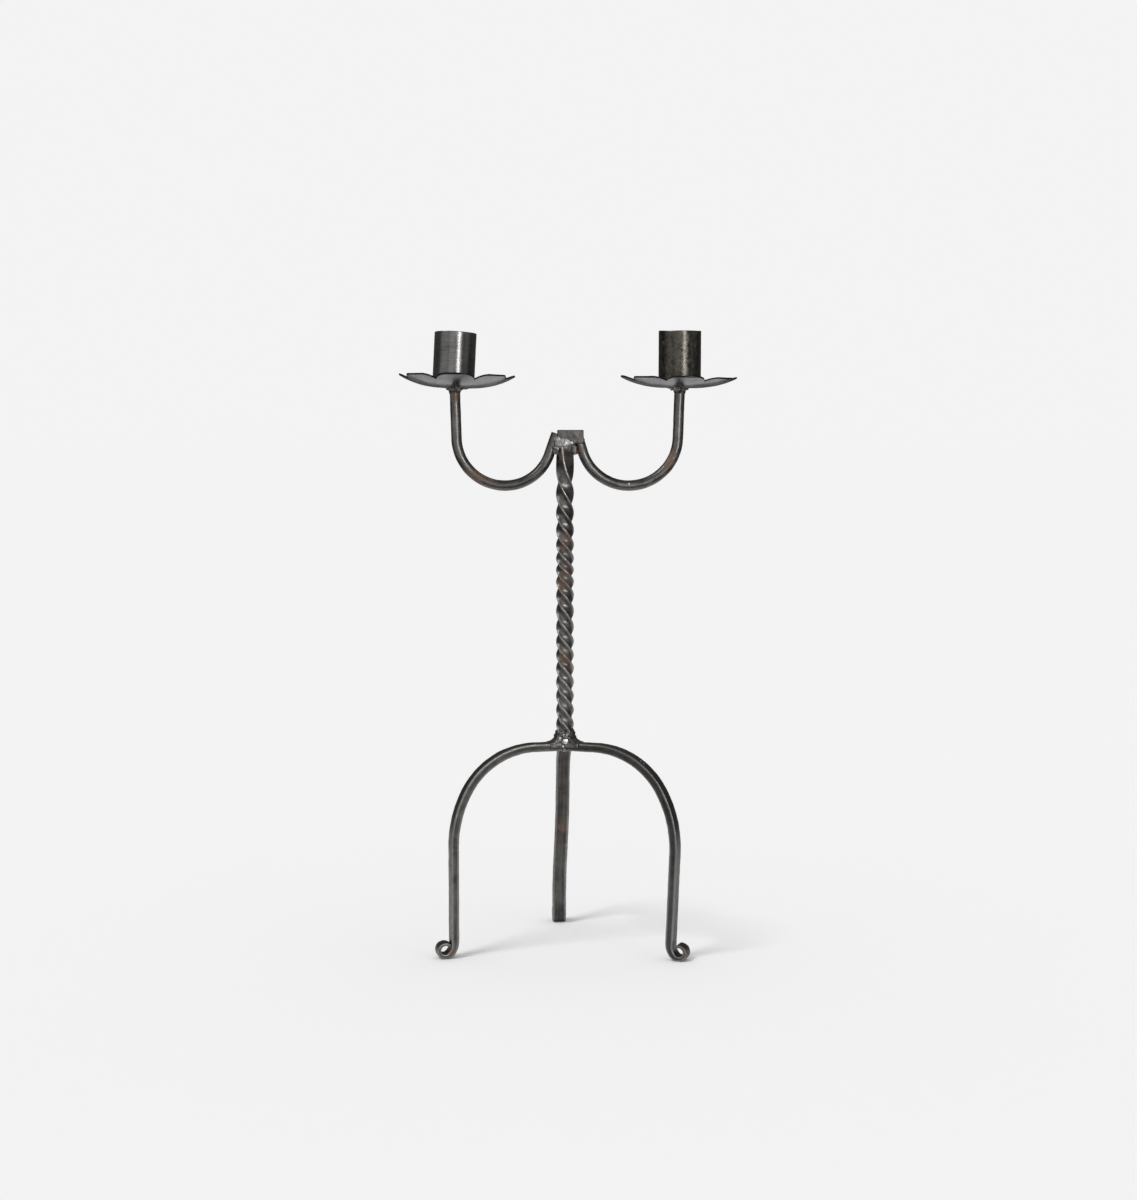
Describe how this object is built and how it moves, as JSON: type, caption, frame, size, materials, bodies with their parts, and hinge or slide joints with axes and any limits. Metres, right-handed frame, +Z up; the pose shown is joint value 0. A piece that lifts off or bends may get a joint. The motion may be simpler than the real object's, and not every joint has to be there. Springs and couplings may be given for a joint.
{
  "type": "candelabrum",
  "caption": "Wrought-iron table candelabrum: twisted stem on arched scroll-footed legs, bent-rod arms with petal-edged drip pans and tube candle cups.",
  "frame": {"origin": "middle of the base of the bounding box, on the surface the feet stand on", "axes": "+X to the right-hand candle, +Y away from the viewer, along the back leg, +Z up"},
  "size_m": [0.2034, 0.1156, 0.3778],
  "materials": {
    "forged_iron": "blackened forged iron, waxed, with rust-brown patches",
    "pan_sheet": "blackened sheet iron, smooth, satin",
    "cup_tube": "blackened tube with fine turning lines",
    "weld_metal": "lumpy blackened weld bead with bright facets",
    "ground_weld": "weld ground back, dull bright"
  },
  "bodies": {
    "root": {"back_leg": "forged_iron", "block_weld": "ground_weld", "hub_weld": "weld_metal", "left_arm": "forged_iron", "left_arm_weld": "weld_metal", "left_candle_cup": "cup_tube", "left_cup_tacks": "weld_metal", "left_drip_pan": "pan_sheet", "left_leg": "forged_iron", "left_pan_weld": "weld_metal", "leg_seam_weld": "weld_metal", "right_arm": "forged_iron", "right_arm_weld": "weld_metal", "right_candle_cup": "cup_tube", "right_cup_tacks": "weld_metal", "right_drip_pan": "pan_sheet", "right_leg": "forged_iron", "right_pan_weld": "weld_metal", "stem": "forged_iron", "top_block": "forged_iron"}
  },
  "joints": []
}
